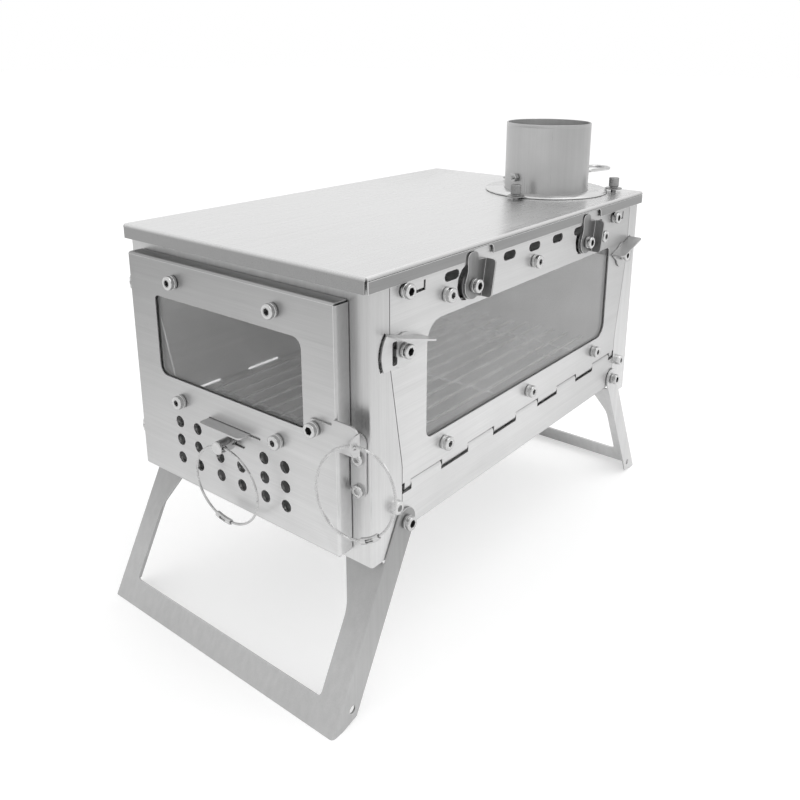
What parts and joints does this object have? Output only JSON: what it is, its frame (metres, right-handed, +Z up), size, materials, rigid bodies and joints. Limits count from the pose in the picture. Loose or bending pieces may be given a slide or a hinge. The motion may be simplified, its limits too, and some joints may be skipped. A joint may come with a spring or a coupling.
{
  "type": "tent wood stove",
  "caption": "Flat-pack stainless steel tent wood stove on folding legs, with a windowed door, a side window and a flue collar.",
  "frame": {"origin": "on the floor, under the middle of the bounding box", "axes": "+X to the side with the window, +Y from the door to the back, +Z up"},
  "size_m": [0.2319, 0.3874, 0.3004],
  "materials": {
    "brushed_steel": "brushed stainless sheet",
    "lid_steel": "satin stainless sheet",
    "leg_steel": "brushed stainless sheet",
    "dark_steel": "ground steel",
    "polished_steel": "polished stainless",
    "wire_steel": "twisted steel wire",
    "clear_glass": "clear heat resistant glass"
  },
  "bodies": {
    "stove": {"base_tray": "brushed_steel", "front_frame": "brushed_steel", "back_panel": "brushed_steel", "side_panel_right": "brushed_steel", "side_panel_left": "brushed_steel", "hinge_rod_right": "polished_steel", "hinge_rod_left": "polished_steel", "side_glass": "clear_glass", "side_glass_frame": "polished_steel", "latch_keeper": "brushed_steel", "door_hinge_pin_upper": "polished_steel", "door_hinge_pin_lower": "polished_steel", "lever_screw_front_right": "polished_steel", "latch_screw_front_right": "polished_steel", "hang_screw_front_right": "polished_steel", "leg_screw_front_right": "polished_steel", "lever_screw_back_right": "polished_steel", "latch_screw_back_right": "polished_steel", "hang_screw_back_right": "polished_steel", "leg_screw_back_right": "polished_steel", "lever_screw_front_left": "polished_steel", "latch_screw_front_left": "polished_steel", "hang_screw_front_left": "polished_steel", "leg_screw_front_left": "polished_steel", "lever_screw_back_left": "polished_steel", "latch_screw_back_left": "polished_steel", "hang_screw_back_left": "polished_steel", "leg_screw_back_left": "polished_steel"},
    "lid": {"top_plate": "lid_steel", "lid_edge_right": "lid_steel", "lid_edge_left": "lid_steel", "flue_collar": "brushed_steel", "collar_flange": "brushed_steel"},
    "damper": {"damper_plate": "brushed_steel", "damper_shaft": "polished_steel"},
    "thumbscrew_1": {"thumbscrew_1": "dark_steel"},
    "thumbscrew_2": {"thumbscrew_2": "dark_steel"},
    "thumbscrew_3": {"thumbscrew_3": "dark_steel"},
    "lever_front_right": {"top_lever_front_right": "dark_steel"},
    "lever_back_right": {"top_lever_back_right": "dark_steel"},
    "lever_front_left": {"top_lever_front_left": "dark_steel"},
    "lever_back_left": {"top_lever_back_left": "dark_steel"},
    "latch_front_right": {"corner_latch_front_right": "brushed_steel"},
    "latch_back_right": {"corner_latch_back_right": "brushed_steel"},
    "latch_front_left": {"corner_latch_front_left": "brushed_steel"},
    "latch_back_left": {"corner_latch_back_left": "brushed_steel"},
    "front_leg": {"front_leg": "leg_steel"},
    "back_leg": {"back_leg": "leg_steel"},
    "door": {"door_shell": "brushed_steel", "door_glass": "clear_glass", "door_glass_frame": "polished_steel", "door_latch_screw": "polished_steel"},
    "air_slide": {"air_slide": "brushed_steel", "air_knob": "polished_steel"},
    "pull_ring": {"pull_ring": "wire_steel", "pull_ring_barrel": "wire_steel"},
    "door_latch": {"door_latch": "brushed_steel"},
    "latch_ring": {"latch_ring": "wire_steel", "latch_ring_barrel": "wire_steel"},
    "grate": {"fire_grate": "dark_steel"}
  },
  "joints": [
    {"name": "lid_lift", "type": "slide", "parent": "stove", "child": "lid", "axis": [0, 0, 1], "range_m": [0, 0.04]},
    {"name": "damper_turn", "type": "hinge", "parent": "lid", "child": "damper", "pos_m": [0.0322, 0.12, 0.2609], "axis": [0.2588, 0.9659, 0], "range_deg": [0, 90]},
    {"name": "thumbscrew_1_turn", "type": "hinge", "parent": "lid", "child": "thumbscrew_1", "pos_m": [0.03628, 0.06816, 0.252], "axis": [0, 0, 1], "continuous": true},
    {"name": "thumbscrew_2_turn", "type": "hinge", "parent": "lid", "child": "thumbscrew_2", "pos_m": [0.07581, 0.14832, 0.252], "axis": [0, 0, 1], "continuous": true},
    {"name": "thumbscrew_3_turn", "type": "hinge", "parent": "lid", "child": "thumbscrew_3", "pos_m": [-0.01413, 0.14361, 0.252], "axis": [0, 0, 1], "continuous": true},
    {"name": "lever_front_right_turn", "type": "hinge", "parent": "stove", "child": "lever_front_right", "pos_m": [0.0932, -0.0705, 0.2244], "axis": [1, 0, 0], "range_deg": [-80, 0]},
    {"name": "lever_back_right_turn", "type": "hinge", "parent": "stove", "child": "lever_back_right", "pos_m": [0.0932, 0.0705, 0.2244], "axis": [1, 0, 0], "range_deg": [-80, 0]},
    {"name": "lever_front_left_turn", "type": "hinge", "parent": "stove", "child": "lever_front_left", "pos_m": [-0.1048, -0.0705, 0.2244], "axis": [1, 0, 0], "range_deg": [-80, 0]},
    {"name": "lever_back_left_turn", "type": "hinge", "parent": "stove", "child": "lever_back_left", "pos_m": [-0.1048, 0.0705, 0.2244], "axis": [1, 0, 0], "range_deg": [-80, 0]},
    {"name": "latch_front_right_turn", "type": "hinge", "parent": "stove", "child": "latch_front_right", "pos_m": [0.0932, -0.1334, 0.2034], "axis": [1, 0, 0], "range_deg": [-32, 19]},
    {"name": "latch_back_right_turn", "type": "hinge", "parent": "stove", "child": "latch_back_right", "pos_m": [0.0932, 0.1334, 0.2034], "axis": [1, 0, 0], "range_deg": [-19, 32]},
    {"name": "latch_front_left_turn", "type": "hinge", "parent": "stove", "child": "latch_front_left", "pos_m": [-0.1048, -0.1334, 0.2034], "axis": [1, 0, 0], "range_deg": [-32, 19]},
    {"name": "latch_back_left_turn", "type": "hinge", "parent": "stove", "child": "latch_back_left", "pos_m": [-0.1048, 0.1334, 0.2034], "axis": [1, 0, 0], "range_deg": [-19, 32]},
    {"name": "front_leg_fold", "type": "hinge", "parent": "stove", "child": "front_leg", "pos_m": [-0.0058, -0.1315, 0.1022], "axis": [1, 0, 0], "range_deg": [0, 117]},
    {"name": "back_leg_fold", "type": "hinge", "parent": "stove", "child": "back_leg", "pos_m": [-0.0058, 0.1315, 0.1022], "axis": [1, 0, 0], "range_deg": [-117, 0]},
    {"name": "door_swing", "type": "hinge", "parent": "stove", "child": "door", "pos_m": [-0.0973, -0.164, 0.1644], "axis": [0, 0, 1], "range_deg": [-120, 0]},
    {"name": "air_slide_shift", "type": "slide", "parent": "door", "child": "air_slide", "axis": [1, 0, 0], "range_m": [0, 0.008]},
    {"name": "pull_ring_swing", "type": "hinge", "parent": "air_slide", "child": "pull_ring", "pos_m": [-0.0038, -0.1786, 0.135], "axis": [1, 0, 0], "range_deg": [-80, 6]},
    {"name": "door_latch_lift", "type": "hinge", "parent": "door", "child": "door_latch", "pos_m": [0.0639, -0.1698, 0.1641], "axis": [0, -1, 0], "range_deg": [0, 60]},
    {"name": "latch_ring_swing", "type": "hinge", "parent": "door_latch", "child": "latch_ring", "pos_m": [0.0938, -0.1727, 0.1641], "axis": [0.9397, 0.342, 0], "range_deg": [-70, 3]},
    {"name": "grate_lift", "type": "slide", "parent": "stove", "child": "grate", "axis": [0, 0, 1], "range_m": [0, 0.05]}
  ]
}
